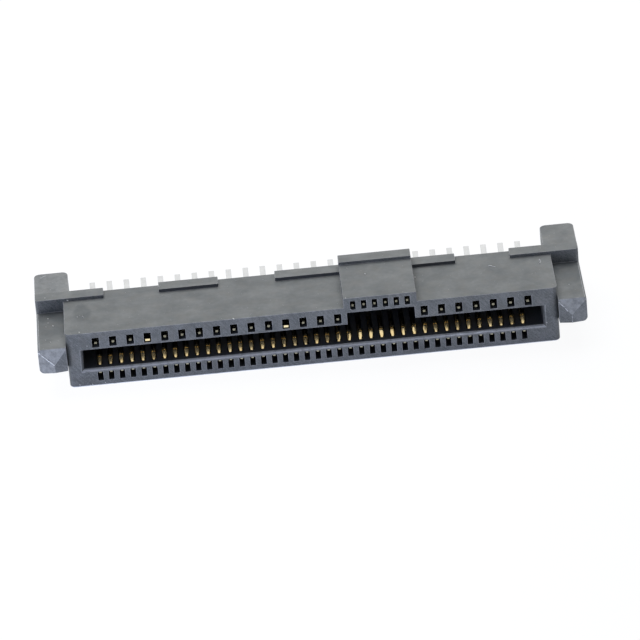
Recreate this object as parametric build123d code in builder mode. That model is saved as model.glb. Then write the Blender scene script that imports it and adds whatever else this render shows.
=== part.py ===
from build123d import *
import os

# A 68-position drive receptacle that straddles the edge of a board, in millimetres.
# X runs along the contact rows, Y from the mating face back to the board, Z up from the lower face.
# A name ending in _depth is measured back from the mating face, and one ending in _z up from the
# lower face. The origin is the middle of the whole part's footprint, on the lower face.

# Contact rows, as the drive's own interface sets them
row_pitch = 1.27
fine_pitch = 0.8
long_row_count = 15
short_row_count = 7
middle_row_count = 6
lower_row_count = 40
upper_span = 31.75
lower_row_shift = -0.15
first_mates = (4, 12)

# Body, with the crown that rises over the middle contacts
end_wall = 1.15
body_height = 4.45
body_depth = 6.4
front_corner_round = 0.4
lower_edge_round = 0.15
crown_length = 5.35
crown_rise = 0.77

# Ledges along the rear of the top, as stretches of X, and how they stand
ledge_width = 1.15
ledge_rise = 0.25
end_ledge_length = 3.0
left_ledge_x = -8.75
left_ledge_length = 4.4
crown_ledge_left = 4.75
crown_ledge_right = 3.25

# Ears, guide posts and board arms at both ends
ear_width = 2.075
ear_corner_round = 0.25
post_bottom_z = 1.72
post_height = 1.94
post_reach = 0.6
post_ridge_inset = 0.93
post_side_setback = 0.15
post_lead_drop = 1.3
post_lead_run = 0.17
post_edge_round = 0.35
post_edge_chamfer = 0.12
arm_width = 2.5
arm_length = 3.25
arm_drop = 0.1
arm_corner_round = 0.45

# Board that the arms and the tails take between them
board_z = 2.285
board_thickness = 1.6
board_clearance = 0.05
groove_reach = 0.9
groove_lead_in = 0.2

# Slot for the drive's tongue, and the key over its raised part
slot_end_room = 1.025
slot_floor_z = 1.435
slot_height = 1.635
slot_depth = 5.0
slot_lead_in = 0.185
key_length = 4.97
key_rise = 0.95

# Contact windows in the mating face, and the channels behind them
upper_window_width = 0.53
upper_window_height = 0.78
upper_window_z = 3.6
fine_window_width = 0.4
middle_window_height = 0.7
middle_window_z = 4.6
lower_window_height = 0.70
lower_window_z = 0.8
upper_lip = 1.0
lower_lip = 0.6
rear_wall = 1.2

# Contacts, stamped and bent from one strip
strip_thickness = 0.15
upper_contact_width = 0.42
fine_contact_width = 0.30
upper_tip_width = 0.24
fine_tip_width = 0.20
first_mate_tip_width = 0.34
upper_tip_depth = 0.45
first_mate_tip_depth = 0.05
lower_tip_depth = 0.15
tip_clearance = 0.01
stem_clearance = 0.01
stem_offset = 0.1
bend_clearance = 0.45
crest_run = 0.6
crest_reach = 0.34
crest_radius = 0.3
beam_end_gap = 1.8
tail_straight = 0.3
tail_jog = 0.6
tail_pad = 1.3
tail_flare_run = 0.85
tail_flare_rise = 0.38

# What follows from the driving sizes: the slot reaches past the longer row, and the body past the slot
lower_span = (lower_row_count - 1) * fine_pitch
slot_length = max(upper_span, lower_span) + 2 * slot_end_room
body_length = slot_length + 2 * end_wall
arm_end_depth = body_depth + arm_length
face_y = (post_reach - arm_end_depth) / 2
slot_ceiling_z = slot_floor_z + slot_height
key_ceiling_z = slot_ceiling_z + key_rise
crown_z = body_height + crown_rise
channel_depth = body_depth - rear_wall
ledge_front_depth = body_depth - ledge_width

long_row = [-upper_span / 2 + i * row_pitch for i in range(long_row_count)]
short_row = [upper_span / 2 - i * row_pitch for i in reversed(range(short_row_count))]
key_x = (long_row[-1] + short_row[0]) / 2
middle_row = [key_x + (i - (middle_row_count - 1) / 2) * fine_pitch for i in range(middle_row_count)]
lower_row = [lower_row_shift - lower_span / 2 + i * fine_pitch for i in range(lower_row_count)]


def facing(depth):
    """A plane parallel to the mating face, drawn on as seen from the front."""
    return Plane.XZ.offset(-(face_y + depth))


def across(x):
    """A plane square to the contact rows, with Y to the right and Z up."""
    return Plane.YZ.offset(x)


def block(x_low, x_high, depth_low, depth_high, z_low, z_high):
    """Adds a plain block to the part being built, between those limits."""
    with Locations((x_low, face_y + depth_low, z_low)):
        Box(
            x_high - x_low,
            depth_high - depth_low,
            z_high - z_low,
            align=(Align.MIN, Align.MIN, Align.MIN),
        )


# Right-hand end: an ear on the body's side, the guide post in front of it and the board arm behind
ear_inner_x = body_length / 2
ear_outer_x = ear_inner_x + ear_width
arm_inner_x = ear_outer_x - arm_width
post_top_z = post_bottom_z + post_height
post_ridge_x = ear_inner_x + post_ridge_inset
groove_height = board_thickness + 2 * board_clearance

with BuildPart() as guide_post:
    with BuildSketch(facing(-post_reach)) as post_front:
        with Locations((ear_inner_x, post_bottom_z)):
            Rectangle(ear_width, post_height, align=(Align.MIN, Align.MIN))
        fillet(post_front.vertices().group_by(Axis.X)[-1].sort_by(Axis.Y)[0], post_edge_round)
        chamfer(post_front.vertices().group_by(Axis.X)[-1].sort_by(Axis.Y)[-1], post_edge_chamfer)
    extrude(amount=-(post_reach + ledge_front_depth))
    # The nose is a shallow V in plan, with a steep lead-in cut across its top
    for side_x in (ear_inner_x, ear_outer_x):
        with BuildSketch(Plane.XY.offset(post_bottom_z)):
            with BuildLine():
                Polyline(
                    (post_ridge_x, face_y - post_reach),
                    (side_x, face_y - post_reach),
                    (side_x, face_y - post_reach + post_side_setback),
                    close=True,
                )
            make_face()
        extrude(amount=post_height, mode=Mode.SUBTRACT)
    with BuildSketch(across(ear_inner_x)):
        with BuildLine():
            Polyline(
                (face_y - post_reach, post_top_z - post_lead_drop),
                (face_y - post_reach, post_top_z),
                (face_y - post_reach + post_lead_run, post_top_z),
                close=True,
            )
        make_face()
    extrude(amount=ear_width, mode=Mode.SUBTRACT)

with BuildPart() as board_arm:
    with BuildSketch() as arm_plan:
        with Locations((arm_inner_x, face_y + body_depth)):
            Rectangle(arm_width, arm_length, align=(Align.MIN, Align.MIN))
        fillet(arm_plan.vertices().group_by(Axis.Y)[-1], arm_corner_round)
    extrude(amount=body_height + ledge_rise - arm_drop)
    with BuildSketch(Plane.XY.offset(board_z - groove_height / 2)):
        with Locations((arm_inner_x, face_y + body_depth)):
            Rectangle(groove_reach, arm_length, align=(Align.MIN, Align.MIN))
    extrude(amount=groove_height, mode=Mode.SUBTRACT)
    groove_mouth = board_arm.edges().filter_by(Axis.X).group_by(Axis.Y)[-1].sort_by(Axis.Z)[1:-1]
    chamfer(groove_mouth, groove_lead_in)

with BuildPart() as right_end:
    with BuildSketch() as ear_plan:
        with Locations((ear_inner_x, face_y + ledge_front_depth)):
            Rectangle(ear_width, ledge_width, align=(Align.MIN, Align.MIN))
        fillet(ear_plan.vertices().sort_by(Axis.Y)[:2].sort_by(Axis.X)[-1], ear_corner_round)
    extrude(amount=body_height + ledge_rise)
    add(guide_post.part)
    add(board_arm.part)

# Housing: one moulding
upper_windows = [(x, upper_window_z) for x in long_row + short_row]
middle_windows = [(x, middle_window_z) for x in middle_row]
lower_windows = [(x, lower_window_z) for x in lower_row]


def cut_windows(centres, width, height, slot_wall_z, lip):
    """Cuts a row's windows and channels, and the slits that open the channels to the slot."""
    with BuildSketch(facing(0)) as windows:
        with Locations(*centres):
            Rectangle(width, height)
    extrude(windows.sketch, amount=-channel_depth, mode=Mode.SUBTRACT)
    with BuildSketch(facing(lip)) as slits:
        with Locations(*[(x, (z + slot_wall_z) / 2) for x, z in centres]):
            Rectangle(width, abs(centres[0][1] - slot_wall_z))
    extrude(slits.sketch, amount=-(slot_depth - lip), mode=Mode.SUBTRACT)


def cut_stems(centres, width, toward_slot):
    """Cuts the passages through the rear wall that grip a row's stems."""
    with BuildSketch(facing(channel_depth)) as stems:
        with Locations(*[(x, z - toward_slot * stem_offset) for x, z in centres]):
            Rectangle(width + 2 * stem_clearance, strip_thickness + 2 * stem_clearance)
    extrude(stems.sketch, amount=-rear_wall, mode=Mode.SUBTRACT)


with BuildPart() as housing:
    with BuildSketch() as body_plan:
        with Locations((0, face_y)):
            Rectangle(body_length, body_depth, align=(Align.CENTER, Align.MIN))
        fillet(body_plan.vertices().group_by(Axis.Y)[0], front_corner_round)
    extrude(amount=body_height)
    lower_edges = housing.faces().sort_by(Axis.Z)[0].edges().sort_by(Axis.Y)[:-1]
    fillet(lower_edges, lower_edge_round)
    add(right_end.part)
    add(mirror(right_end.part, about=Plane.YZ))

    # Crown and ledges
    crown_left_x = key_x - crown_length / 2
    crown_right_x = key_x + crown_length / 2
    ledge_z = body_height + ledge_rise
    block(crown_left_x, crown_right_x, 0, body_depth, body_height, crown_z)
    block(crown_left_x, crown_right_x, ledge_front_depth, body_depth, crown_z, crown_z + ledge_rise)
    for x_low, x_high in (
        (-ear_inner_x, -ear_inner_x + end_ledge_length),
        (left_ledge_x - left_ledge_length / 2, left_ledge_x + left_ledge_length / 2),
        (crown_left_x - crown_ledge_left, crown_left_x),
        (crown_right_x, crown_right_x + crown_ledge_right),
        (ear_inner_x - end_ledge_length, ear_inner_x),
    ):
        block(x_low, x_high, ledge_front_depth, body_depth, body_height, ledge_z)

    # Slot with its key, and the lead-in round the slot's floor and ends
    with BuildSketch(facing(0)):
        with Locations((0, slot_floor_z)):
            Rectangle(slot_length, slot_height, align=(Align.CENTER, Align.MIN))
        with Locations((key_x, slot_ceiling_z)):
            Rectangle(key_length, key_rise, align=(Align.CENTER, Align.MIN))
    extrude(amount=-slot_depth, mode=Mode.SUBTRACT)
    slot_rim = housing.faces().filter_by(Axis.Y).sort_by(Axis.Y)[0].inner_wires()[0].edges()
    rim_ends = slot_rim.filter_by(Axis.Z).sort_by(Axis.X)
    rim_floor = slot_rim.filter_by(Axis.X).sort_by(Axis.Z)[0]
    chamfer([rim_floor, rim_ends[0], rim_ends[-1]], slot_lead_in)

    # Windows, channels and stem passages of the three rows
    cut_windows(upper_windows, upper_window_width, upper_window_height, slot_ceiling_z, upper_lip)
    cut_windows(middle_windows, fine_window_width, middle_window_height, key_ceiling_z, upper_lip)
    cut_windows(lower_windows, fine_window_width, lower_window_height, slot_floor_z, lower_lip)
    cut_stems(upper_windows, upper_contact_width, -1)
    cut_stems(middle_windows, fine_contact_width, -1)
    cut_stems(lower_windows, fine_contact_width, 1)

# Contacts


def formed_contact(centre, window_height, slot_wall_z, toward_slot, lip, widths, tip_depth):
    """One contact: a strip bent to its side view, then trimmed to its blank's outline in plan.

    toward_slot is 1 for a contact below the slot, whose crest stands up into it, and -1 above it.
    """
    x, window_z = centre
    width, tip_width = widths
    half_strip = strip_thickness / 2
    stem_z = window_z - toward_slot * stem_offset
    tip_z = window_z + toward_slot * (window_height / 2 - half_strip - tip_clearance)
    crest_z = slot_wall_z + toward_slot * (crest_reach - half_strip)
    pad_z = board_z - toward_slot * (board_thickness / 2 + half_strip)
    ramp_depth = lip + bend_clearance
    jog_depth = body_depth + tail_straight
    pad_depth = jog_depth + tail_jog
    pad_end_depth = pad_depth + tail_pad
    tail_depth = pad_end_depth + tail_flare_run
    side_view = [
        (tip_depth, tip_z),
        (ramp_depth, tip_z),
        (ramp_depth + crest_run, crest_z),
        (channel_depth - beam_end_gap, stem_z),
        (jog_depth, stem_z),
        (pad_depth, pad_z),
        (pad_end_depth, pad_z),
        (tail_depth, pad_z - toward_slot * tail_flare_rise),
    ]
    with BuildPart() as contact:
        with BuildSketch(across(x - width / 2)):
            with BuildLine():
                path = FilletPolyline(
                    *[(face_y + depth, z - toward_slot * half_strip) for depth, z in side_view],
                    radius=[0, crest_radius, 0, 0, 0, 0],
                )
                offset(
                    path,
                    amount=strip_thickness,
                    side=Side.LEFT if toward_slot > 0 else Side.RIGHT,
                    kind=Kind.INTERSECTION,
                )
            make_face()
        extrude(amount=width)
        with BuildSketch():
            with BuildLine():
                Polyline(
                    (x - tip_width / 2, face_y + tip_depth),
                    (x + tip_width / 2, face_y + tip_depth),
                    (x + width / 2, face_y + ramp_depth),
                    (x + width / 2, face_y + tail_depth + strip_thickness),
                    (x - width / 2, face_y + tail_depth + strip_thickness),
                    (x - width / 2, face_y + ramp_depth),
                    close=True,
                )
            make_face()
        extrude(amount=crown_z, mode=Mode.INTERSECT)
    return contact.part


upper_widths = (upper_contact_width, upper_tip_width)
first_mate_widths = (upper_contact_width, first_mate_tip_width)
fine_widths = (fine_contact_width, fine_tip_width)
pieces = [("housing", housing)]

for number, centre in enumerate(upper_windows, start=1):
    in_long_row = number <= long_row_count
    mates_first = number in first_mates
    widths = first_mate_widths if mates_first else upper_widths
    tip_depth = first_mate_tip_depth if mates_first else upper_tip_depth
    with BuildPart() as upper_contact:
        add(
            formed_contact(
                centre, upper_window_height, slot_ceiling_z, -1, upper_lip, widths, tip_depth
            )
        )
    row_name, row_number = ("long", number) if in_long_row else ("short", number - long_row_count)
    pieces.append((f"{row_name}_row_contact_{row_number:02d}", upper_contact))

for number, centre in enumerate(middle_windows, start=1):
    with BuildPart() as middle_contact:
        add(
            formed_contact(
                centre, middle_window_height, key_ceiling_z, -1, upper_lip, fine_widths, upper_tip_depth
            )
        )
    pieces.append((f"middle_contact_{number}", middle_contact))

for number in range(1, lower_row_count, 2):
    with BuildPart() as lower_pair:
        for centre in lower_windows[number - 1 : number + 1]:
            add(
                formed_contact(
                    centre, lower_window_height, slot_floor_z, 1, lower_lip, fine_widths, lower_tip_depth
                )
            )
    pieces.append((f"lower_contacts_{number:02d}_{number + 1:02d}", lower_pair))

os.makedirs("parts", exist_ok=True)
for name, piece in pieces:
    piece.part.label = name
    export_step(piece.part, f"parts/{name}.step")
print(len(pieces), "nodes")
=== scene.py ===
# %% [markdown]
# # Dressing a drive receptacle
#
# The real thing is a grey moulding 40 mm long that slides over the edge of a board. It holds 68 small
# stamped contacts: 22 above its slot, 6 in its raised middle and 40 below. Its sizes are fixed
# already, in a frame that this lesson loads. What is left is how it looks: worn edges, a moulded
# surface, gold where a contact is touched and tin where it is soldered, and a little dust.

# %% Load the frame
import math
import random

import bmesh
import bpy
from mathutils import Matrix, Vector


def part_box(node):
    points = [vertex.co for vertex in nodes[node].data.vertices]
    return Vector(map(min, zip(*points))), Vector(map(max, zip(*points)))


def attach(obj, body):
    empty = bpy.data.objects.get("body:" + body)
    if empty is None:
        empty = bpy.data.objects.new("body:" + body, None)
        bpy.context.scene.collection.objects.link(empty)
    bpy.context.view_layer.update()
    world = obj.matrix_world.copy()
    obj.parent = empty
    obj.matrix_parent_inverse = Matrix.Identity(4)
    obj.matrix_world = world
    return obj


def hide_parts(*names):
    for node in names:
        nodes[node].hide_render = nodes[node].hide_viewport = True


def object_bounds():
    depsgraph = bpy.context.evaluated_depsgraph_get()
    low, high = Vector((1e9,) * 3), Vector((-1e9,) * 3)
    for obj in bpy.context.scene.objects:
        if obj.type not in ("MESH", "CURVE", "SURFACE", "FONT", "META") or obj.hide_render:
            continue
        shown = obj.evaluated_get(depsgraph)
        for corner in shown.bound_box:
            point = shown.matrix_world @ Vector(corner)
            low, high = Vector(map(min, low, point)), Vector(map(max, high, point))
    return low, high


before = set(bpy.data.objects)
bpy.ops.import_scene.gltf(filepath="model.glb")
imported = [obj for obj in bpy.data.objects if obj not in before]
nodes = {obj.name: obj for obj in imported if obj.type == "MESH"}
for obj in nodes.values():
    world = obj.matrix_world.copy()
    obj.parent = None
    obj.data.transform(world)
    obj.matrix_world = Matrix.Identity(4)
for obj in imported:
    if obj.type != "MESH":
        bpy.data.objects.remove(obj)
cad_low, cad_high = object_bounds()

print(len(nodes), "nodes in a box of", [round(1000 * side, 2) for side in cad_high - cad_low], "mm")

# %% [markdown]
# Blender works in metres here, and a maker thinks of this part in millimetres, so each size below is
# written in millimetres and multiplied by `mm`. The mating face is the flat front with the windows in
# it. Depths are measured back from it, because that is how the contacts are drawn. The crown is the
# raised middle of the top, and the key is the raised part of the slot below it.

# %% Sizes that the rest is placed by
mm = 0.001
post_reach = 0.6
post_top = 3.66
body_depth = 6.4
body_height = 4.45
crown_top = body_height + 0.77
slot_length = 33.8
slot_floor = 1.435
slot_ceiling = slot_floor + 1.635
key_ceiling = slot_ceiling + 0.95
rear_wall = 1.2

housing_low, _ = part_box("housing")
face_y = housing_low.y / mm + post_reach
print("the mating face is at y =", round(face_y, 3), "mm")

# %% [markdown]
# ## The camera
#
# The photograph was taken from the front, about 28 degrees above the board's plane, with a long lens,
# and the part was turned a few degrees clockwise in the picture. A camera is easiest to rebuild as a
# product photographer sets it: where it aims, from what direction, how far away, and how it is rolled.
# The aim point is the middle of the part, and the picture shows it a little off centre, so the camera
# is slid sideways by that many pixels instead of being turned. In Blender a camera, lamp or mesh is
# only data until an object shows it, and one helper makes those objects.

# %% Camera
def add_object(name, data):
    """Puts a new object that shows some data into the scene."""
    thing = bpy.data.objects.new(name, data)
    bpy.context.collection.objects.link(thing)
    return thing


picture_px = 640
focal_px = 5983.6
sensor_width = 36
aim_height = 2.22
aim_px = (309.81, 309.09)
camera_distance = 441.6
yaw, pitch, roll = (math.radians(angle) for angle in (-0.940, 28.344, -5.135))

turn = Matrix.Rotation(yaw, 3, "Z")
flat_right = turn @ Vector((1, 0, 0))
ahead = turn @ Vector((0, math.cos(pitch), -math.sin(pitch)))
flat_up = turn @ Vector((0, math.sin(pitch), math.cos(pitch)))
right = math.cos(roll) * flat_right + math.sin(roll) * flat_up
up = math.cos(roll) * flat_up - math.sin(roll) * flat_right

per_px = camera_distance / focal_px
slide = right * (picture_px / 2 - aim_px[0]) * per_px - up * (picture_px / 2 - aim_px[1]) * per_px
lens = bpy.data.cameras.new("product_lens")
lens.sensor_width = sensor_width
lens.lens = focal_px * sensor_width / picture_px
lens.clip_start = 10 * mm
lens.clip_end = 20
camera = add_object("camera", lens)
place = (Vector((0, 0, aim_height)) - ahead * camera_distance + slide) * mm
camera.matrix_world = Matrix.Translation(place) @ Matrix((right, up, -ahead)).transposed().to_4x4()
bpy.context.scene.camera = camera
bpy.context.scene.view_settings.view_transform = "Standard"
print("lens", round(lens.lens, 1), "mm at", [round(c / mm, 1) for c in camera.location])

# %% [markdown]
# ## Helpers for materials
#
# Colours are written as a screen shows them, in sRGB hex, and one function turns them to the linear
# values that the renderer adds and multiplies. One more function adds any kind of node. Its settings
# name either a property of the node or one of its inputs, and its links name the inputs that other
# nodes feed. Inputs that share a name are given by number, and a node given in place of one of its
# outputs stands for its first.

# %% Colour and node helpers
def linear(hex_colour):
    """The linear RGBA of an sRGB hex colour."""
    channels = [int(hex_colour[i : i + 2], 16) / 255 for i in (1, 3, 5)]
    return [c / 12.92 if c <= 0.04045 else ((c + 0.055) / 1.055) ** 2.4 for c in channels] + [1]


def add_node(tree, kind, settings=None, links=None):
    """Adds a node, sets its properties and inputs, and links other nodes or their outputs to it."""
    node = tree.nodes.new(kind)
    for name, value in (settings or {}).items():
        if isinstance(name, str) and name in node.bl_rna.properties:
            setattr(node, name, value)
        else:
            node.inputs[name].default_value = value
    for name, source in (links or {}).items():
        output = source.outputs[0] if isinstance(source, bpy.types.Node) else source
        tree.links.new(output, node.inputs[name])
    return node


def empty_material(name):
    """A material without any nodes, and its node tree."""
    material = bpy.data.materials.new(name)
    material.use_nodes = True
    material.node_tree.nodes.clear()
    return material, material.node_tree


def seen_by_eye(tree):
    """A value that is 1 for rays from the lens, a reflection or glass, and 0 for all other light."""
    path = add_node(tree, "ShaderNodeLightPath").outputs
    seen = path["Is Camera Ray"]
    for ray in ("Is Glossy Ray", "Is Transmission Ray"):
        seen = add_node(tree, "ShaderNodeMath", {"operation": "MAXIMUM"}, {0: seen, 1: path[ray]})
    return seen


# %% [markdown]
# ## Floor and light
#
# The part was photographed on a white table under a wide, soft light, above it and behind, so its
# upper faces are the lightest and every wall that faces the lens is darker. The mating face isn't
# black, because the table throws light back up at it, and more of it at the left. The low walls under
# the ledges get little of that light and are dark, and that is what makes the ledges readable.
#
# To the light, the floor is a white matt sheet with a weak glow that fades from left to right. To the
# lens it is mostly plain white, so that it stays white right up to the picture's edge and keeps only a
# trace of the part's shadow. From below it is clear, so that the underside can be looked at.

# %% Floor
floor_size = 3000
floor_drop = 0.01
shadow_share = 0.08
glow_reach = 20
table_glow_left = 0.84
table_glow_right = 0.36

paper, tree = empty_material("white_paper_sweep")
matt = add_node(tree, "ShaderNodeBsdfDiffuse", {"Color": linear("#f2f5fa")})
place_on = add_node(tree, "ShaderNodeTexCoord").outputs["Object"]
across = add_node(tree, "ShaderNodeSeparateXYZ", links={0: place_on})
glow_strength = add_node(
    tree,
    "ShaderNodeMapRange",
    {
        "From Min": -glow_reach * mm,
        "From Max": glow_reach * mm,
        "To Min": table_glow_left,
        "To Max": table_glow_right,
    },
    {"Value": across.outputs["X"]},
)
glow = add_node(
    tree, "ShaderNodeEmission", {"Color": linear("#dfe8ff")}, {"Strength": glow_strength}
)
lit_sheet = add_node(tree, "ShaderNodeAddShader", links={0: matt, 1: glow})
white = add_node(tree, "ShaderNodeEmission", {"Color": linear("#ffffff"), "Strength": 1.0})
shown = add_node(tree, "ShaderNodeMixShader", {0: shadow_share}, {1: white, 2: lit_sheet})
sheet = add_node(tree, "ShaderNodeMixShader", links={0: seen_by_eye(tree), 1: lit_sheet, 2: shown})
side = add_node(tree, "ShaderNodeNewGeometry")
clear = add_node(tree, "ShaderNodeBsdfTransparent")
one_sided = add_node(
    tree, "ShaderNodeMixShader", links={0: side.outputs["Backfacing"], 1: sheet, 2: clear}
)
add_node(tree, "ShaderNodeOutputMaterial", links={"Surface": one_sided})

floor_mesh = bpy.data.meshes.new("floor")
half = floor_size / 2 * mm
floor_z = cad_low.z - floor_drop * mm
corners = [(-half, -half), (half, -half), (half, half), (-half, half)]
floor_mesh.from_pydata([(x, y, floor_z) for x, y in corners], [], [(0, 1, 2, 3)])
floor_mesh.materials.append(paper)
floor = add_object("floor", floor_mesh)
print("floor at", round(floor_z / mm, 3), "mm")

# %% [markdown]
# The key light is a large panel, high up and behind the part. A second panel straight above it, much
# weaker, softens the shadows of the ledges. A third one, small and a little blue, stands low at the
# front left, as a window would, and picks out the noses of the posts. None of them shows in the
# metal. The world is white to the lens and in reflections, and dim to everything else.

# %% Lamps and world
def add_panel(name, centre, size, power, colour):
    """A square lamp that faces the part and shows in no reflection, placed in millimetres."""
    light = bpy.data.lights.new(name, "AREA")
    light.shape = "SQUARE"
    light.size = size * mm
    light.energy = power
    light.color = linear(colour)[:3]
    lamp = add_object(name, light)
    lamp.location = Vector(centre) * mm
    lamp.rotation_euler = (-Vector(centre)).to_track_quat("-Z", "Y").to_euler()
    lamp.visible_glossy = False
    return lamp


panels = [
    add_panel("key_panel", (-40, 280, 360), 480, 2.3, "#fffefb"),
    add_panel("overhead_panel", (-60, 10, 300), 240, 0.14, "#fffefd"),
    add_panel("window_fill", (-130, -110, 40), 80, 0.035, "#c9d8ff"),
]

world = bpy.data.worlds.new("white_surround")
bpy.context.scene.world = world
world.use_nodes = True
tree = world.node_tree
tree.nodes.clear()
dim = add_node(tree, "ShaderNodeBackground", {"Color": linear("#dfe8ff"), "Strength": 0.09})
white = add_node(tree, "ShaderNodeBackground", {"Color": linear("#ffffff"), "Strength": 1.0})
surround = add_node(tree, "ShaderNodeMixShader", links={0: seen_by_eye(tree), 1: dim, 2: white})
add_node(tree, "ShaderNodeOutputWorld", links={"Surface": surround})
print("lamps:", [lamp.name for lamp in panels])

# %% [markdown]
# ## The moulding's material
#
# The housing is liquid crystal polymer filled with short glass fibres, the usual plastic for fine
# connectors because it fills thin walls and survives soldering. It is moulded in a few tenths of a
# second, so the melt leaves faint flow marks, a millimetre or two long. The fibres show as a fine
# mottle and dull the surface. The mating face was cut into the mould by spark erosion, which leaves a
# fine grit, and use has left short diagonal scratches on it. Edges rub pale. The lead-in of the slot
# is pale partly from wear and partly as a painted highlight, the noses of the guide posts carry a
# painted highlight, and the walls deep in the slot and its channels carry painted shade. The mesh says
# where, in attributes that the material reads. The real grit and fibres are finer than a pixel, so
# both are drawn as coarse as they need to show.

# %% Glass-filled liquid crystal polymer
pattern_low = 0.3
pattern_high = 0.7
flow_length = 1.5
flow_stretch = 0.8
mottle_size = 0.34
grit_size = 0.07
cloud_size = 0.9
scratch_length = 0.7
scratch_width = 0.06
scratch_angle = math.radians(48)
bump_height = 0.006

plastic, tree = empty_material("moulded_liquid_crystal_polymer")
place_on = add_node(tree, "ShaderNodeTexCoord").outputs["Object"]
stretched = add_node(
    tree, "ShaderNodeMapping", {"Scale": (flow_stretch, 1.0, 1.0)}, {"Vector": place_on}
)
flow = add_node(
    tree,
    "ShaderNodeTexNoise",
    {"Scale": 1 / (flow_length * mm), "Detail": 3.0, "Roughness": 0.5, "Distortion": 0.2},
    {"Vector": stretched},
)
mottle, grit, cloud = (
    add_node(
        tree,
        "ShaderNodeTexNoise",
        {"Scale": 1 / (size * mm), "Detail": detail, "Roughness": roughness},
        {"Vector": place_on},
    )
    for size, detail, roughness in ((mottle_size, 4, 0.6), (grit_size, 2, 0.5), (cloud_size, 2, 0.5))
)
leaning = add_node(
    tree,
    "ShaderNodeMapping",
    {
        "vector_type": "TEXTURE",
        "Rotation": (0, scratch_angle, 0),
        "Scale": (scratch_length / scratch_width, 1, 1),
    },
    {"Vector": place_on},
)
scratches = add_node(
    tree,
    "ShaderNodeTexNoise",
    {"Scale": 1 / (scratch_width * mm), "Detail": 3.0, "Roughness": 0.65},
    {"Vector": leaning},
)
eroded, wear_and_painted_highlight, recess_painted_shade = (
    add_node(tree, "ShaderNodeAttribute", {"attribute_name": name}).outputs["Fac"]
    for name in ("spark_eroded", "wear_and_painted_highlight", "recess_painted_shade")
)

# %% [markdown]
# Each pattern becomes a small share of lighter or darker plastic. Noise mostly stays between 0.3 and
# 0.7, so that range is spread over the share. The shares are added, and the sum picks a colour
# between a dark and a pale grey. The photograph shows differences of a few percent on
# the top and about ten percent on the mating face. It also shows a dark round mark on the top, near
# its left end. Both posts are painted darker in front of the ears, as painted shadow of the ears, and
# these three are soft-edged blotches with a place of their own.

# %% Shares of lighter and darker plastic
# The two post blotches are painted shadow of the ears on the post tops
# Each blotch: x, depth, height, width, length, and its share
blotches = {
    "dark mark on the top": (-16.7, 3.2, body_height, 1.5, 2.8, -0.5),
    "painted shade on the left post": (-18.9, 3.4, post_top, 3.2, 4.6, -0.55),
    "painted shade on the right post": (18.9, 3.6, post_top, 3.2, 4.2, -0.4),
}
blotch_height = 0.7
# A blotch is full up to its core and gone at its rim, both as shares of its half size
blotch_core = 0.6
blotch_rim = 1.1


def mixed_tone(tree, patterns):
    """Adds up patterns, each of which swings from minus to plus its own share."""
    total = None
    for pattern, share in patterns:
        swing = add_node(
            tree,
            "ShaderNodeMapRange",
            {"From Min": pattern_low, "From Max": pattern_high, "To Min": -share, "To Max": share},
            {"Value": pattern},
        )
        if total is None:
            total = swing
        else:
            total = add_node(tree, "ShaderNodeMath", {"operation": "ADD"}, {0: total, 1: swing})
    return total


all_over = mixed_tone(tree, [(flow, 0.32), (mottle, 0.22)])
on_the_face = mixed_tone(tree, [(scratches, 0.5), (grit, 0.5)])
tone = add_node(
    tree, "ShaderNodeMath", {"operation": "MULTIPLY_ADD"}, {0: on_the_face, 1: eroded, 2: all_over}
)
for x, depth, height, width, length, share in blotches.values():
    from_blotch = add_node(
        tree,
        "ShaderNodeMapping",
        {
            "vector_type": "TEXTURE",
            "Location": [c * mm for c in (x, face_y + depth, height)],
            "Scale": [c * mm for c in (width / 2, length / 2, blotch_height)],
        },
        {"Vector": place_on},
    )
    blotch_radius = add_node(
        tree, "ShaderNodeVectorMath", {"operation": "LENGTH"}, {0: from_blotch}
    )
    blotch = add_node(
        tree,
        "ShaderNodeMapRange",
        {
            "interpolation_type": "SMOOTHSTEP",
            "From Min": blotch_core,
            "From Max": blotch_rim,
            "To Min": share,
            "To Max": 0,
        },
        {"Value": blotch_radius.outputs["Value"]},
    )
    tone = add_node(tree, "ShaderNodeMath", {"operation": "ADD"}, {0: tone, 1: blotch})
print("moulding: flow marks", flow_length, "mm, mottle", mottle_size, "mm,", len(blotches), "blotches")

# %% [markdown]
# A rubbed edge isn't an even line: it is broken up by the grain of the plastic. So the mesh's mark of
# wear and painted highlight is multiplied by the mottle before it picks the pale colour. Over the two
# greys, the colour is laid in four layers, each where its own share says: brownish clouds, a breath of
# blue on the eroded face, pale wear on the edges with a painted highlight on the noses and the
# lead-in, and a darker grey deep inside the slot and its channels, which is painted shade.

# %% Colour of the moulding
middle = add_node(tree, "ShaderNodeMath", {"operation": "ADD", 1: 0.5}, {0: tone})
colour = add_node(
    tree,
    "ShaderNodeMix",
    {"data_type": "RGBA", 6: linear("#5a5f62"), 7: linear("#818485")},
    {0: middle},
)
brown_share = add_node(
    tree,
    "ShaderNodeMapRange",
    {"From Min": 0.45, "From Max": 0.7, "To Min": 0.0, "To Max": 0.22},
    {"Value": cloud},
)
blue_share = add_node(tree, "ShaderNodeMath", {"operation": "MULTIPLY", 1: 0.5}, {0: eroded})
broken_up = add_node(
    tree,
    "ShaderNodeMapRange",
    {"From Min": 0.38, "From Max": 0.62, "To Min": 0.5, "To Max": 1.0},
    {"Value": mottle},
)
# Pale where the edges have real wear, and a painted highlight on the post noses and the lead-in
wear_and_highlight_share = add_node(tree, "ShaderNodeMath", {"operation": "MULTIPLY"}, {0: wear_and_painted_highlight, 1: broken_up})
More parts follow.
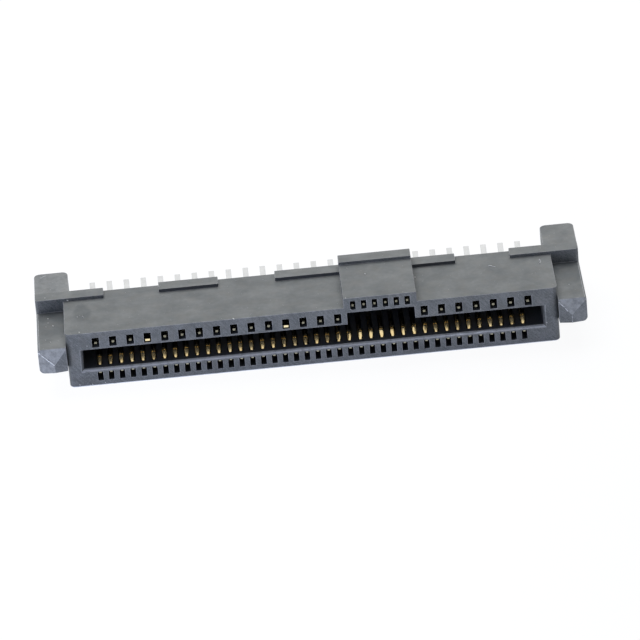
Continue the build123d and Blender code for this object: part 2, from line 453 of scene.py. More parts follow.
# The last layer is painted shade: a darker grey on the walls deep in the slot and its channels
for share, blend, layer in (
    (brown_share, "MIX", "#76736d"),
    (blue_share, "MULTIPLY", "#eff2ff"),
    (wear_and_highlight_share, "MIX", "#e4e7ed"),
    (recess_painted_shade, "MIX", "#54575c"),
):
    colour = add_node(
        tree,
        "ShaderNodeMix",
        {"data_type": "RGBA", "blend_type": blend, 7: linear(layer)},
        {0: share, 6: colour.outputs[2]},
    )
print("colour of the moulding is mixed from", len(tree.nodes), "nodes")

# %% [markdown]
# The skin is dull from its fibres, and deep inside the slot and its channels its shine is turned down
# as painted shade. Bump uses the same patterns as the colour, because a scratch both catches light and
# looks paler.

# %% Finish of the moulding
roughness = add_node(
    tree,
    "ShaderNodeMapRange",
    {"From Min": pattern_low, "From Max": pattern_high, "To Min": 0.48, "To Max": 0.62},
    {"Value": mottle},
)
grain = add_node(tree, "ShaderNodeMath", {"operation": "MULTIPLY"}, {0: grit, 1: mottle})
relief = add_node(
    tree, "ShaderNodeMath", {"operation": "MULTIPLY_ADD"}, {0: scratches, 1: eroded, 2: grain}
)
bump = add_node(
    tree, "ShaderNodeBump", {"Strength": 0.6, "Distance": bump_height * mm}, {"Height": relief}
)
# Deep in the slot and its channels the shine is turned down, as painted shade
shine = add_node(tree, "ShaderNodeMapRange", {"To Min": 0.5, "To Max": 0.12}, {"Value": recess_painted_shade})
skin = add_node(
    tree,
    "ShaderNodeBsdfPrincipled",
    {"IOR": 1.55},
    {
        "Base Color": colour.outputs[2],
        "Roughness": roughness,
        "Specular IOR Level": shine,
        "Normal": bump,
    },
)
add_node(tree, "ShaderNodeOutputMaterial", links={"Surface": skin})
print("the whole plastic has", len(tree.nodes), "nodes")

# %% [markdown]
# ## The housing
#
# No moulding has a perfectly sharp corner, and without a small round on each edge nothing catches the
# light. The frame's mesh can't be changed, so the housing is copied. The copy's loose triangles are
# welded, flat areas are dissolved to single faces, and each outer edge gets a round of 0.03 mm. The
# edges deep inside the channels and those on the underside are left sharp, because nobody sees them.

# %% A welded copy with rounded edges
edge_round = 0.03
weld_distance = 0.001
flat_angle = math.radians(1)
edge_angle = math.radians(30)
underside_height = 0.2
inner_margin = 0.02
end_margin = 0.3

shell = bmesh.new()
shell.from_mesh(nodes["housing"].data)
bmesh.ops.remove_doubles(shell, verts=shell.verts, dist=weld_distance * mm)
bmesh.ops.dissolve_limit(shell, angle_limit=flat_angle, verts=shell.verts, edges=shell.edges)
wear_and_highlight_mark = shell.faces.layers.float.new("wear_and_painted_highlight")
eroded_mark = shell.faces.layers.float.new("spark_eroded")
recess_painted_shade_mark = shell.faces.layers.float.new("recess_painted_shade")


def is_outside(vertex):
    """Whether a vertex lies on the outer skin and above the underside."""
    x, y, z = vertex.co / mm
    depth = y - face_y
    inside_length = abs(x) < slot_length / 2 + end_margin
    inside_depth = inner_margin < depth < body_depth - inner_margin
    on_the_top = z > body_height - inner_margin
    return z > underside_height and (on_the_top or not (inside_length and inside_depth))


outer_edges = [
    edge
    for edge in shell.edges
    if edge.calc_face_angle() > edge_angle and all(is_outside(v) for v in edge.verts)
]
rounded = bmesh.ops.bevel(
    shell,
    geom=outer_edges,
    offset=edge_round * mm,
    offset_type="OFFSET",
    segments=2,
    profile=0.5,
    affect="EDGES",
    clamp_overlap=False,
)
print(len(outer_edges), "edges rounded,", len(rounded["faces"]), "new faces")

# %% [markdown]
# The new faces are the rounded edges, and they are marked with their real wear. The sloping lead-in of
# the slot is marked too, partly as real wear where a drive is pushed home and partly as a painted
# highlight, because the slot's shade keeps light off it. The noses of the posts get a painted
# highlight,
# facet by facet: the sloping lead and the outer side paler, the left nose more than the right. The tops
# of the board arms are painted a little paler than the body, the left one more, so those marks have a
# value for each end. Faces that look forward are marked as spark-eroded, and the walls inside the slot
# and its channels are marked for painted shade. How far a face looks one way is read from its normal.

# %% Mark the wear, the painted highlights and the painted shade
squarely = 0.9
mostly = 0.7
partly = 0.3
slightly = 0.1
lead_in_depth = 0.3
edge_wear = 0.36
# The lead-in is pale partly from real wear and partly as a painted highlight where the slot's shade
# falls
lead_in_wear_and_highlight = 1.5
# The tops of the board arms are painted a little paler than the body, the left one more
arm_top_paling = {"left": 0.11, "right": 0.02}
# Painted highlight: the noses' sloping lead and outer facets are painted paler, the left nose more
nose_painted_highlight = {"left lead": 0.4, "left outer": 0.34, "right lead": 0.36, "right outer": 0.1}

for face in shell.faces:
    face.smooth = True
    x, y, z = face.calc_center_median() / mm
    depth = y - face_y
    slopes = partly < abs(face.normal.z) < squarely
    end = "left" if x < 0 else "right"
    if face.normal.y < -mostly:
        face[eroded_mark] = 1.0
    if face.normal.y < -partly and slopes and 0 < depth < lead_in_depth:
        face[wear_and_highlight_mark] = lead_in_wear_and_highlight
    if face.normal.z > squarely and depth > body_depth:
        face[wear_and_highlight_mark] = arm_top_paling[end]
    if face.normal.y < -partly and depth < -inner_margin:
        if face.normal.z > slightly:
            face[wear_and_highlight_mark] = nose_painted_highlight[end + " lead"]
        elif face.normal.x * x > 0:
            face[wear_and_highlight_mark] = nose_painted_highlight[end + " outer"]
    # Walls deep in the slot and its channels are marked for painted shade
    in_length = abs(x) < slot_length / 2 + inner_margin
    in_depth = lead_in_depth < depth < body_depth - inner_margin
    ceiling = crown_top if abs(face.normal.z) < squarely else body_height - inner_margin
    if in_length and in_depth and underside_height < z < ceiling:
        face[recess_painted_shade_mark] = 1.0
for face in rounded["faces"]:
    face[wear_and_highlight_mark] = edge_wear
print("lead-in faces:", sum(face[wear_and_highlight_mark] == lead_in_wear_and_highlight for face in shell.faces))

# %% [markdown]
# A smooth face shades as if it were curved, which suits the small rounds but would bend the large
# flats. A weighted-normal modifier lets the large faces decide, and edges sharper than 50 degrees stay
# sharp. What a modifier makes is kept as a plain mesh, and the draft with its modifier is removed,
# before the frame hears of the piece.

# %% Shade the copy
crease_angle = math.radians(50)


def plain_copy(source, name):
    """The evaluated mesh of an object as a new plain object in the scene."""
    bpy.context.view_layer.update()
    evaluated = source.evaluated_get(bpy.context.evaluated_depsgraph_get())
    mesh = bpy.data.meshes.new_from_object(evaluated)
    mesh.name = name
    bpy.data.objects.remove(source)
    return add_object(name, mesh)


for edge in shell.edges:
    edge.smooth = edge.calc_face_angle() < crease_angle
draft_mesh = bpy.data.meshes.new("housing_draft")
shell.to_mesh(draft_mesh)
shell.free()
draft_mesh.materials.append(plastic)
draft = add_object("housing_draft", draft_mesh)
weighted = draft.modifiers.new("even shading", "WEIGHTED_NORMAL")
weighted.keep_sharp = True
moulding = plain_copy(draft, "moulded_housing")
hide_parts("housing")
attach(moulding, "root")
print("housing:", len(moulding.data.polygons), "faces")

# %% [markdown]
# ## Plating
#
# A contact is stamped from thin copper alloy, bent and plated. Where it touches the drive it has gold
# over nickel, because gold never tarnishes, and those crests are the warm glints in the slot. Its tip
# is bare nickel, a dull grey mark in each window, but for the first contacts to mate, whose tips have
# a thin polished gold and shine nearly white. Its tail is matt tin, because tin takes solder, and that
# makes the pale row behind the body. All are metals, so their colour is that of their reflection.
# Rolling leaves fine lines along the strip, which stretch each reflection a little. The real lines are
# finer than a pixel, so they are drawn as coarse as they need to show.

# %% Gold, nickel and tin
roll_line_width = 0.05
roll_line_stretch = 0.12
stain_size = 0.4


def plating(name, pale, deep, roughness_low, roughness_high, line_height):
    """A rolled and plated strip: two tones of metal, with fine lines along the strip."""
    material, tree = empty_material(name)
    place_on = add_node(tree, "ShaderNodeTexCoord").outputs["Object"]
    lines = add_node(
        tree,
        "ShaderNodeMapping",
        {"Scale": (1.0, roll_line_stretch, roll_line_stretch)},
        {"Vector": place_on},
    )
    grain = add_node(
        tree,
        "ShaderNodeTexNoise",
        {"Scale": 1 / (roll_line_width * mm), "Detail": 2.0},
        {"Vector": lines},
    )
    stain = add_node(
        tree,
        "ShaderNodeTexNoise",
        {"Scale": 1 / (stain_size * mm), "Detail": 2.0},
        {"Vector": place_on},
    )
    tint = add_node(
        tree, "ShaderNodeMix", {"data_type": "RGBA", 6: linear(deep), 7: linear(pale)}, {0: stain}
    )
    gloss = add_node(
        tree,
        "ShaderNodeMapRange",
        {
            "From Min": pattern_low,
            "From Max": pattern_high,
            "To Min": roughness_low,
            "To Max": roughness_high,
        },
        {"Value": grain},
    )
    bump = add_node(
        tree, "ShaderNodeBump", {"Strength": 0.4, "Distance": line_height * mm}, {"Height": grain}
    )
    metal = add_node(
        tree,
        "ShaderNodeBsdfPrincipled",
        {"Metallic": 1.0},
        {"Base Color": tint.outputs[2], "Roughness": gloss, "Normal": bump},
    )
    add_node(tree, "ShaderNodeOutputMaterial", links={"Surface": metal})
    return material


gold = plating("gold_over_nickel", "#fdebbb", "#eecb86", 0.15, 0.24, 0.0002)
flash = plating("polished_gold_flash", "#fff6d8", "#f7e2a6", 0.20, 0.30, 0.0002)
nickel = plating("bare_nickel", "#b3b2a2", "#929080", 0.40, 0.60, 0.001)
tin = plating("matt_tin", "#ebecec", "#d7d8d8", 0.30, 0.46, 0.002)
print("platings:", gold.name, flash.name, nickel.name, tin.name)

# %% [markdown]
# ## The contacts
#
# All contacts are the same kind of thing: a thin strip that follows a bent line. So one Geometry
# Nodes tree makes them all. It takes the bent line as loose edges, rounds each bend by the radius
# stored at its point, sweeps the strip's section along it, narrows the strip towards its tip, and
# gives each stretch its plating. The real strip has one thickness all along, and a sweep keeps it so
# through every bend.

# %% A tree for formed strips
strip_thickness = 0.15


def geometry_tree(name, inputs):
    """A tree with geometry in and out and with named inputs, each given as name, kind and default."""
    tree = bpy.data.node_groups.new(name, "GeometryNodeTree")
    for in_out in ("INPUT", "OUTPUT"):
        tree.interface.new_socket(name="Geometry", in_out=in_out, socket_type="NodeSocketGeometry")
    for input_name, kind, default in inputs:
        socket_type = "NodeSocket" + kind
        socket = tree.interface.new_socket(name=input_name, in_out="INPUT", socket_type=socket_type)
        socket.default_value = default
    return tree


strip_tree = geometry_tree(
    "formed strip",
    [
        ("Width", "Float", 0.42 * mm),
        ("Thickness", "Float", strip_thickness * mm),
        ("Edge round", "Float", 0.02 * mm),
        ("Tip width", "Float", 0.24 * mm),
        ("Tip y", "Float", 0.0),
        ("Full width y", "Float", 1.0 * mm),
        ("Gold y", "Float", 1.0 * mm),
        ("Tail y", "Float", 5.0 * mm),
        ("Bend steps", "Int", 5),
        ("Tip plating", "Material", nickel),
    ],
)
given = add_node(strip_tree, "NodeGroupInput").outputs
line = add_node(strip_tree, "GeometryNodeMeshToCurve", links={"Mesh": given["Geometry"]})
bend = add_node(
    strip_tree, "GeometryNodeInputNamedAttribute", {"data_type": "FLOAT", "Name": "bend_radius"}
)
rounded_line = add_node(
    strip_tree,
    "GeometryNodeFilletCurve",
    {"mode": "POLY", "Limit Radius": True},
    {"Curve": line, "Radius": bend, "Count": given["Bend steps"]},
)
upright = add_node(
    strip_tree, "GeometryNodeSetCurveNormal", {"mode": "Z_UP"}, {"Curve": rounded_line}
)
print("strip inputs:", [item.name for item in strip_tree.interface.items_tree])

# %% [markdown]
# A swept line forgets where its own middle was, so each point's x is stored before the sweep. After
# it, that stored middle is what the taper narrows towards. In the photograph most tips look a little
# narrower than the frame has them, by up to 0.06 mm, and the taper follows the photograph.

# %% Sweep and taper
where = add_node(strip_tree, "GeometryNodeInputPosition")
axes = add_node(strip_tree, "ShaderNodeSeparateXYZ", links={0: where}).outputs
middle_x = add_node(
    strip_tree,
    "GeometryNodeStoreNamedAttribute",
    {"data_type": "FLOAT", "Name": "middle_x"},
    {"Geometry": upright, "Value": axes["X"]},
)
section = add_node(
    strip_tree,
    "GeometryNodeCurvePrimitiveQuadrilateral",
    links={"Width": given["Width"], "Height": given["Thickness"]},
)
soft_section = add_node(
    strip_tree,
    "GeometryNodeFilletCurve",
    {"mode": "POLY", "Count": 1},
    {"Curve": section, "Radius": given["Edge round"]},
)
strip = add_node(
    strip_tree,
    "GeometryNodeCurveToMesh",
    {"Fill Caps": True},
    {"Curve": middle_x, "Profile Curve": soft_section},
)
stored_x = add_node(
    strip_tree, "GeometryNodeInputNamedAttribute", {"data_type": "FLOAT", "Name": "middle_x"}
)
tip_share = add_node(
    strip_tree,
    "ShaderNodeMath",
    {"operation": "DIVIDE"},
    {0: given["Tip width"], 1: given["Width"]},
)
share = add_node(
    strip_tree,
    "ShaderNodeMapRange",
    links={
        "Value": axes["Y"],
        "From Min": given["Tip y"],
        "From Max": given["Full width y"],
        "To Min": tip_share,
    },
)
off_middle = add_node(
    strip_tree, "ShaderNodeMath", {"operation": "SUBTRACT"}, {0: axes["X"], 1: stored_x}
)
narrow = add_node(
    strip_tree,
    "ShaderNodeMath",
    {"operation": "MULTIPLY_ADD"},
    {0: off_middle, 1: share, 2: stored_x},
)
narrowed = add_node(
    strip_tree, "ShaderNodeCombineXYZ", links={"X": narrow, "Y": axes["Y"], "Z": axes["Z"]}
)
tapered = add_node(
    strip_tree, "GeometryNodeSetPosition", links={"Geometry": strip, "Position": narrowed}
)
print("the tree has", len(strip_tree.nodes), "nodes up to its taper")

# %% [markdown]
# A real contact is dipped for its gold and for its tin, and each bath reaches up to a line. Here too:
# gold goes over the whole strip first, and then the tip and the tail get theirs, up to a depth.

# %% Plate the strip
is_tail = add_node(
    strip_tree,
    "FunctionNodeCompare",
    {"data_type": "FLOAT", "operation": "GREATER_THAN"},
    {0: axes["Y"], 1: given["Tail y"]},
)
is_tip = add_node(
    strip_tree,
    "FunctionNodeCompare",
    {"data_type": "FLOAT", "operation": "LESS_THAN"},
    {0: axes["Y"], 1: given["Gold y"]},
)
real = add_node(strip_tree, "GeometryNodeRealizeInstances", links={"Geometry": tapered})
gilded = add_node(strip_tree, "GeometryNodeSetMaterial", {"Material": gold}, {"Geometry": real})
tipped = add_node(
    strip_tree,
    "GeometryNodeSetMaterial",
    links={"Geometry": gilded, "Selection": is_tip, "Material": given["Tip plating"]},
)
tinned = add_node(
    strip_tree,
    "GeometryNodeSetMaterial",
    {"Material": tin},
    {"Geometry": tipped, "Selection": is_tail},
)
add_node(strip_tree, "NodeGroupOutput", links={"Geometry": tinned})
print("the tree has", len(strip_tree.nodes), "nodes in all")

# %% [markdown]
# The bent line itself is short: a tip that rests against the window, a ramp up to the crest that
# touches the drive, a sprung beam back to the rear wall, the stem that the wall grips, and a tail
# that steps over to the board and flares at its end. A contact below the slot is the same line,
# turned upside down. Each point has a bend radius, and 0 leaves it sharp. No two real crests stand
# quite alike, so each is moved along the row and up or down, by 0.03 mm at most each way, drawn with
# a fixed seed.

# %% The bent line
board_z = 2.285
board_thickness = 1.6
tip_clearance = 0.01
stem_offset = 0.1
bend_clearance = 0.45
crest_run = 0.54
crest_reach = 0.34
beam_end_gap = 1.8
tail_straight = 0.3
tail_jog = 0.6
tail_pad = 1.3
tail_flare_run = 0.85
tail_flare_rise = 0.38
tip_curl_run = 0.1
bend_radii = (0, 0.08, 0, 0.15, 0.3, 0.5, 0, 0.22, 0.22, 0.3, 0)
crest_number = 4
crest_lean = 0.025
crest_lift = 0.03
sway = random.Random(5)


def bent_line(window_z, window_height, slot_wall, toward_slot, lip, tip_depth, curl_rise):
    """The corner points of a contact's middle line as (depth, z), in millimetres."""
    half_strip = strip_thickness / 2
    stem_z = window_z - toward_slot * stem_offset
    tip_z = window_z + toward_slot * (window_height / 2 - half_strip - tip_clearance)
    crest_z = slot_wall + toward_slot * (crest_reach - half_strip)
    pad_z = board_z - toward_slot * (board_thickness / 2 + half_strip)
    ramp = lip + bend_clearance
    jog = body_depth + tail_straight
    pad_end = jog + tail_jog + tail_pad
    return [
        (tip_depth, tip_z - toward_slot * curl_rise),
        (tip_depth + tip_curl_run, tip_z),
        (lip, tip_z),
        (ramp, tip_z),
        (ramp + crest_run, crest_z),
        (body_depth - rear_wall - beam_end_gap, stem_z),
        (body_depth - rear_wall / 2, stem_z),
        (jog, stem_z),
        (jog + tail_jog, pad_z),
        (pad_end, pad_z),
        (pad_end + tail_flare_run, pad_z - toward_slot * tail_flare_rise),
    ]


print("a contact's line has", len(bend_radii), "points")

# %% [markdown]
# There are four kinds of contact. What tells them apart stands together here: where the window is
# and how high, which wall of the slot the crest passes and which way, where the lip in front of the
# slit ends, where the tip begins and how far it curls back. The first contacts to mate are longer,
# so their tips stand close to the window's opening.

# %% The four kinds of contact
upper_line = {
    "window_z": 3.6,
    "window_height": 0.78,
    "slot_wall": slot_ceiling,
    "toward_slot": -1,
    "lip": 1.0,
    "tip_depth": 0.45,
    "curl_rise": 0.04,
}
first_mate_line = upper_line | {"tip_depth": 0.05, "curl_rise": 0.1}
middle_line = upper_line | {"window_z": 4.6, "window_height": 0.70, "slot_wall": key_ceiling}
lower_line = {
    "window_z": 0.80,
    "window_height": 0.70,
    "slot_wall": slot_floor,
    "toward_slot": 1,
    "lip": 0.6,
    "tip_depth": 0.15,
    "curl_rise": 0,
}
# Each kind: its line, its width, its tip's width and its tip's plating
contact_kinds = {
    "upper": (upper_line, 0.42, 0.18, nickel),
    "first mate": (first_mate_line, 0.42, 0.34, flash),
    "middle": (middle_line, 0.30, 0.15, nickel),
    "lower": (lower_line, 0.30, 0.17, nickel),
}
print("an upper contact's crest is at z =", bent_line(**upper_line)[crest_number][1], "mm")

# %% [markdown]
# Two more helpers serve everything that is drawn as a line: one makes a mesh of loose edges along
# lines of points, with one value stored at each point, and one runs a tree on a draft mesh and keeps
# what it made. A modifier knows a tree's inputs by identifiers, so they are looked up by name.

# %% Lines as meshes, and running a tree
def line_mesh(name, lines, value_name, values):
    """A mesh of loose edges along lines of points in millimetres, with a named value for each point."""
    points = [Vector(point) * mm for line in lines for point in line]
    edges = []
    start = 0
    for line in lines:
        edges += [(start + i, start + i + 1) for i in range(len(line) - 1)]
        start += len(line)
    mesh = bpy.data.meshes.new(name)
    mesh.from_pydata(points, edges, [])
    mesh.attributes.new(value_name, "FLOAT", "POINT").data.foreach_set("value", values)
    return mesh


def run_tree(tree, mesh, values, name):
    """Runs a tree on a draft mesh, with its inputs set by name, and keeps a plain object."""
    draft = add_object(mesh.name, mesh)
    modifier = draft.modifiers.new(tree.name, "NODES")
    modifier.node_group = tree
    for item in tree.interface.items_tree:
        if item.item_type == "SOCKET" and item.in_out == "INPUT" and item.name in values:
            modifier[item.identifier] = values[item.name]
    return plain_copy(draft, name)


# %% [markdown]
# One function makes the contacts of a node. Their place along the row comes from the frame's own box
# for that node, so the two can't drift apart. As a test, the piece's box is set against that box: the
# misfit is how far the worst side is off.

# %% From a line to plated contacts
def plated_contact(node_name, kind, offsets):
    """Makes the contacts of one node, each at an offset along the row from the middle of its box."""
    line_sizes, width, tip_width, tip_plating = contact_kinds[kind]
    low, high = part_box(node_name)
    centre = (low.x + high.x) / 2 / mm
    corners = bent_line(**line_sizes)
    lines = []
    for offset in offsets:
        lean = sway.uniform(-crest_lean, crest_lean)
        lift = sway.uniform(-crest_lift, crest_lift)
        line = [(centre + offset, face_y + depth, z) for depth, z in corners]
        x, y, z = line[crest_number]
        line[crest_number] = (x + lean, y, z + lift)
        lines.append(line)
    radii = [radius * mm for radius in bend_radii] * len(offsets)
    mesh = line_mesh(node_name + "_line", lines, "bend_radius", radii)
    for plate in (gold, tip_plating, tin):
        mesh.materials.append(plate)
    values = {
        "Width": width * mm,
        "Tip width": tip_width * mm,
        "Tip y": (face_y + line_sizes["tip_depth"]) * mm,
        "Full width y": (face_y + line_sizes["lip"]) * mm,
        "Gold y": (face_y + line_sizes["lip"]) * mm,
        "Tail y": (face_y + body_depth - rear_wall / 2) * mm,
        "Tip plating": tip_plating,
    }
    contact = run_tree(strip_tree, mesh, values, node_name + "_plated")
    for polygon in contact.data.polygons:
        polygon.use_smooth = True
    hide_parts(node_name)
    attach(contact, "root")
    return contact


def box_misfit(piece, node_name):
    """The largest distance between a piece's box and its node's box, in millimetres."""
    corners = [v.co for v in piece.data.vertices]
    low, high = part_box(node_name)
    gaps = [min(c[i] for c in corners) - low[i] for i in range(3)]
    gaps += [max(c[i] for c in corners) - high[i] for i in range(3)]
    return max(abs(gap) for gap in gaps) / mm


print("the tails begin at y =", round(face_y + body_depth, 3), "mm")

# %% [markdown]
# Now the rows. Above the slot each contact has a node of its own. The fourth and twelfth of the long
# row are the first to mate, so that ground is joined before power. Below the slot, each node of the
# frame holds two contacts, one pitch apart.

# %% Upper and middle rows
first_mates = ("long_row_contact_04", "long_row_contact_12")
above = {}
for node_name in sorted(nodes):
    if node_name in first_mates:
        kind = "first mate"
    elif "_row_contact_" in node_name:
        kind = "upper"
    elif node_name.startswith("middle_contact"):
        kind = "middle"
    else:
        continue
    above[node_name] = plated_contact(node_name, kind, [0])
print(len(above), "contacts above the slot, misfit", max(box_misfit(c, n) for n, c in above.items()))

# %% Lower row
fine_pitch = 0.8
below = {}
for node_name in sorted(nodes):
    if node_name.startswith("lower_contacts"):
        pair = [-fine_pitch / 2, fine_pitch / 2]
        below[node_name] = plated_contact(node_name, "lower", pair)
print(len(below), "pairs below the slot, misfit", max(box_misfit(c, n) for n, c in below.items()))

# %% [markdown]
# ## Dust
#
# Up close, a part this small always carries dust and crumbs of its own plastic. Some of the specks
# in the photograph can be told apart, and they are placed one by one. The rest are scattered by
# Geometry Nodes with a fixed seed, most densely on the rounded edges, which hold dust best, and on the
# lead-in and the noses of the posts, which share their mark of wear and painted highlight. Both kinds
# are the same small ball, turned and squashed at random, because no two real crumbs are alike. A torn
# crumb is full of tiny surfaces that scatter light, so it looks nearly white and has no shine.

# %% Crumbs
def torn_plastic(name, speckle_size, dark, pale, roughness, ior):
    """Torn plastic: rough and pale, in two tones that change over the speckle's size."""
    material, tree = empty_material(name)
    place_on = add_node(tree, "ShaderNodeTexCoord").outputs["Object"]
    speckles = add_node(
        tree, "ShaderNodeTexNoise", {"Scale": 1 / (speckle_size * mm)}, {"Vector": place_on}
    )
    tint = add_node(
        tree,
        "ShaderNodeMix",
        {"data_type": "RGBA", 6: linear(dark), 7: linear(pale)},
        {0: speckles},
    )
    skin = add_node(
        tree,
        "ShaderNodeBsdfPrincipled",
        {"Roughness": roughness, "IOR": ior},
        {"Base Color": tint.outputs[2]},
    )
    add_node(tree, "ShaderNodeOutputMaterial", links={"Surface": skin})
    return material


crumb = torn_plastic("pale_plastic_crumbs", 0.03, "#c9ccd2", "#f6f6f3", 0.8, 1.5)
dust_tree = geometry_tree(
    "settled dust",
    [
        ("Specks per square metre", "Float", 3e5),
        ("Speck radius", "Float", 0.03 * mm),
        ("Seed", "Int", 7),
    ],
)
given = add_node(dust_tree, "NodeGroupInput").outputs
dusty, noted, own_size = (
    add_node(dust_tree, "GeometryNodeInputNamedAttribute", {"data_type": kind, "Name": name})
    for kind, name in (("FLOAT", "dusty"), ("BOOLEAN", "noted"), ("FLOAT", "crumb_size"))
)
density = add_node(
    dust_tree,
    "ShaderNodeMath",
    {"operation": "MULTIPLY"},
    {0: dusty, 1: given["Specks per square metre"]},
)
scattered = add_node(
    dust_tree,
    "GeometryNodeDistributePointsOnFaces",
    links={"Mesh": given["Geometry"], "Density": density, "Seed": given["Seed"]},
)
placed = add_node(
    dust_tree, "GeometryNodeMeshToPoints", links={"Mesh": given["Geometry"], "Selection": noted}
)
spots = add_node(dust_tree, "GeometryNodeJoinGeometry", links={0: scattered})
dust_tree.links.new(placed.outputs[0], spots.inputs[0])
print("dust inputs:", [item.name for item in dust_tree.interface.items_tree])

# %% [markdown]
# A small ball is copied to every point, turned and squashed by random values, and scaled by the size
# stored at the point. The copies are only references at first, so they are realized before they get
# their material.

# %% From points to crumbs
def finish_tree(tree, geometry, material):
    """Realizes a tree's geometry, gives it one material and sends it to the output."""
    real = add_node(tree, "GeometryNodeRealizeInstances", links={"Geometry": geometry})
    coated = add_node(tree, "GeometryNodeSetMaterial", {"Material": material}, {"Geometry": real})
    add_node(tree, "NodeGroupOutput", links={"Geometry": coated})


squash, spin = (
    add_node(
        dust_tree,
        "FunctionNodeRandomValue",
        {"data_type": "FLOAT_VECTOR", 0: low, 1: high},
        {"Seed": given["Seed"]},
    )
    for low, high in (((0.5, 0.4, 0.3), (1.3, 1.0, 0.8)), ((0, 0, 0), (math.tau,) * 3))
)
scale = add_node(
    dust_tree, "ShaderNodeVectorMath", {"operation": "SCALE"}, {0: squash, "Scale": own_size}
)
ball = add_node(
    dust_tree, "GeometryNodeMeshIcoSphere", {"Subdivisions": 1}, {"Radius": given["Speck radius"]}
)
crumbs = add_node(
    dust_tree,
    "GeometryNodeInstanceOnPoints",
    links={"Points": spots, "Instance": ball, "Rotation": spin, "Scale": scale},
)
finish_tree(dust_tree, crumbs, crumb)
print("dust tree:", len(dust_tree.nodes), "nodes")

# %% [markdown]
# The tree runs on a copy of the housing whose faces say how dusty they are, plus one loose point for
# each listed speck. Nothing settles deep inside.

# %% Dusty faces and listed specks
# Each speck: x, depth, height and size
noted_specks = [
    (-19.26, 4.27, post_top, 1.3),
    (-18.92, 3.11, post_top, 1.5),
    (-19.43, 3.06, post_top, 0.8),
    (-19.27, 3.62, post_top, 0.9),
    (-19.14, 0.61, post_top, 1.2),
    (-19.50, 1.03, post_top, 0.7),
    (-19.36, 5.63, 4.70, 1.0),
    (-17.70, 5.25, 4.51, 1.8),
    (-17.06, 2.65, body_height, 0.9),
    (-16.65, 2.64, body_height, 1.4),
    (-16.97, 0.25, body_height, 1.2),
    (-16.52, 0.0, 3.42, 1.3),
    (-17.33, 0.05, 0.22, 1.6),
    (-16.55, 0.02, 0.13, 1.8),
    (-16.40, 0.0, 0.19, 1.3),
    (-15.47, 0.0, 0.24, 1.1),
    (-5.67, 0.02, body_height, 1.7),
    (4.26, 3.54, crown_top, 1.5),
    (2.98, 4.71, crown_top, 1.0),
    (2.60, 0.10, crown_top, 1.0),
    (2.90, 0.0, 4.31, 0.8),
    (2.95, 0.0, 4.24, 0.6),
    (7.91, 3.72, body_height, 1.3),
    (19.05, 1.74, post_top, 1.0),
    (18.12, -0.46, 3.42, 1.4),
    (17.13, 0.0, 1.63, 1.2),
]
scattered_size = 0.3
# How dusty each kind of face is, as a multiple of the tree's density
up_dust = 1.0
front_dust = 0.8
edge_dust = 6.0

dusty_shell = bmesh.new()
dusty_shell.from_mesh(moulding.data)
dusty_mark = dusty_shell.faces.layers.float.new("dusty")
size_mark = dusty_shell.verts.layers.float.new("crumb_size")
noted_mark = dusty_shell.verts.layers.bool.new("noted")
wear_and_highlight_mark = dusty_shell.faces.layers.float["wear_and_painted_highlight"]
recess_painted_shade_mark = dusty_shell.faces.layers.float["recess_painted_shade"]
for face in dusty_shell.faces:
    if face[recess_painted_shade_mark] > 0:
        continue
    if face.normal.z > squarely:
        face[dusty_mark] = up_dust
    elif face.normal.y < -squarely:
        face[dusty_mark] = front_dust
    elif face[wear_and_highlight_mark] > 0 and face.normal.y < slightly:
        face[dusty_mark] = edge_dust
for vertex in dusty_shell.verts:
    vertex[size_mark] = scattered_size
for x, depth, z, size in noted_specks:
    vertex = dusty_shell.verts.new(Vector((x, face_y + depth, z)) * mm)
    vertex[size_mark] = size
    vertex[noted_mark] = True
dust_mesh = bpy.data.meshes.new("dust_source")
dusty_shell.to_mesh(dust_mesh)
dusty_shell.free()
print("specks placed by hand:", len(noted_specks))

# %% Scatter the dust
faces_per_crumb = 20
dust_values = {"Specks per square metre": 5e5, "Speck radius": 0.07 * mm, "Seed": 7}
dust = run_tree(dust_tree, dust_mesh, dust_values, "settled_dust")
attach(dust, "root")
print("dust:", len(dust.data.polygons) // faces_per_crumb, "crumbs")

# %% [markdown]
# ## Scratches
#
# A scratch in filled plastic is a whitened burr, pale because the surface there is torn. Each of the
# photograph's clear scratches is a line of a few points on a face. One tree resamples it, lets it
# wander a little, and sweeps a thin round burr along it whose width comes and goes.

# %% A tree for burrs
wander_length = 0.11

burr_plastic = torn_plastic("stress_whitened_plastic", 0.08, "#c4c8d0", "#f4f5f8", 0.7, 1.55)
burr_tree = geometry_tree(
    "raised scratch",
    [
        ("Burr radius", "Float", 0.02 * mm),
        ("Step", "Float", 0.05 * mm),
        ("Wander", "Float", 0.03 * mm),
    ],
)
given = add_node(burr_tree, "NodeGroupInput").outputs
path = add_node(burr_tree, "GeometryNodeMeshToCurve", links={"Mesh": given["Geometry"]})
even = add_node(
    burr_tree,
    "GeometryNodeResampleCurve",
    {"mode": "LENGTH"},
    {"Curve": path, "Length": given["Step"]},
)
drift = add_node(
    burr_tree, "ShaderNodeTexNoise", {"Scale": 1 / (wander_length * mm), "Detail": 3.0}
)
centred = add_node(
    burr_tree,
    "ShaderNodeVectorMath",
    {"operation": "SUBTRACT", 1: (0.5, 0.5, 0.5)},
    {0: drift.outputs["Color"]},
)
offset = add_node(
    burr_tree,
    "ShaderNodeVectorMath",
    {"operation": "SCALE"},
    {0: centred, "Scale": given["Wander"]},
)
wandering = add_node(
    burr_tree, "GeometryNodeSetPosition", links={"Geometry": even, "Offset": offset}
)
swell = add_node(
    burr_tree,
    "ShaderNodeMapRange",
    {"From Min": 0.35, "From Max": 0.65, "To Min": 0.15, "To Max": 1.3},
    {"Value": drift},
)
own_size = add_node(
    burr_tree, "GeometryNodeInputNamedAttribute", {"data_type": "FLOAT", "Name": "scratch_size"}
)
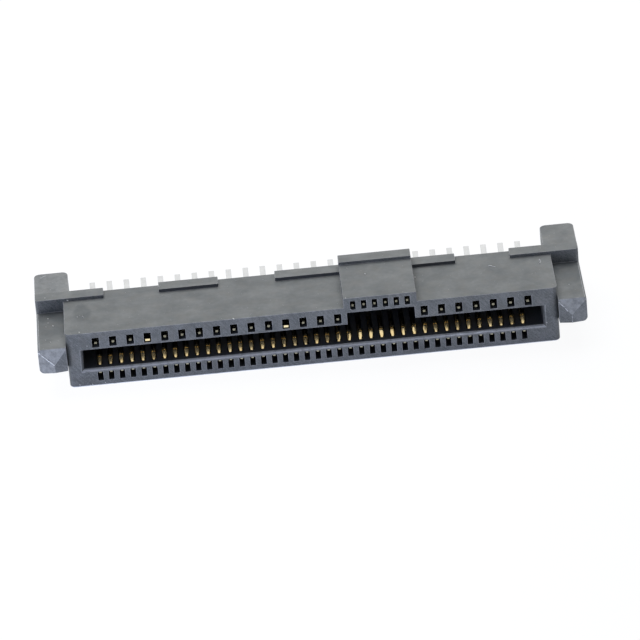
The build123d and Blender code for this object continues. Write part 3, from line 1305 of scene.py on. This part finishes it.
scale = add_node(burr_tree, "ShaderNodeMath", {"operation": "MULTIPLY"}, {0: swell, 1: own_size})
round_section = add_node(
    burr_tree,
    "GeometryNodeCurvePrimitiveCircle",
    {"Resolution": 6},
    {"Radius": given["Burr radius"]},
)
burr = add_node(
    burr_tree,
    "GeometryNodeCurveToMesh",
    {"Fill Caps": True},
    {"Curve": wandering, "Profile Curve": round_section, "Scale": scale},
)
finish_tree(burr_tree, burr, burr_plastic)
print("scratch tree:", len(burr_tree.nodes), "nodes")

# %% [markdown]
# Six of them are on the left nose, the left arm, the top and the right nose. The last four are scuffs
# on the lead-in below the slot, where a drive was pushed in a little too low.

# %% Scratch the housing
# Each scratch: its size, and its points as x, depth and height
scratches_seen = [
    (1.5, [(-20.08, -0.455, 3.46), (-19.50, -0.53, 2.88), (-19.00, -0.60, 2.38)]),
    (0.7, [(-19.67, 8.95, 4.60), (-19.47, 9.19, 4.60), (-19.22, 9.31, 4.60)]),
    (0.7, [(13.36, 4.43, body_height), (13.58, 4.29, body_height), (13.87, 4.10, body_height)]),
    (0.7, [(17.17, 4.68, body_height), (17.24, 4.29, body_height), (17.08, 3.90, body_height)]),
    (1.0, [(18.10, -0.46, 3.42), (18.42, -0.50, 3.07), (18.70, -0.54, 2.67)]),
    (0.7, [(18.98, -0.60, 2.32), (18.98, -0.60, 1.82)]),
    (0.7, [(0.43, 0.07, 1.33), (0.90, 0.11, 1.37), (1.35, 0.06, 1.32)]),
    (0.7, [(9.37, 0.11, 1.37), (9.85, 0.06, 1.32)]),
    (0.8, [(10.03, 0.05, 1.31), (10.50, 0.11, 1.37), (10.99, 0.08, 1.34)]),
    (0.8, [(11.90, 0.08, 1.34), (12.50, 0.12, 1.38), (13.30, 0.07, 1.33)]),
]
lines = [[(x, face_y + depth, z) for x, depth, z in points] for _, points in scratches_seen]
sizes = [size for size, points in scratches_seen for _ in points]
scratch_mesh = line_mesh("scratch_lines", lines, "scratch_size", sizes)
burr_values = {"Burr radius": 0.04 * mm, "Step": 0.04 * mm, "Wander": 0.05 * mm}
burrs = run_tree(burr_tree, scratch_mesh, burr_values, "raised_scratches")
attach(burrs, "root")
print("scratches:", len(scratches_seen), "with", len(burrs.data.polygons), "faces")
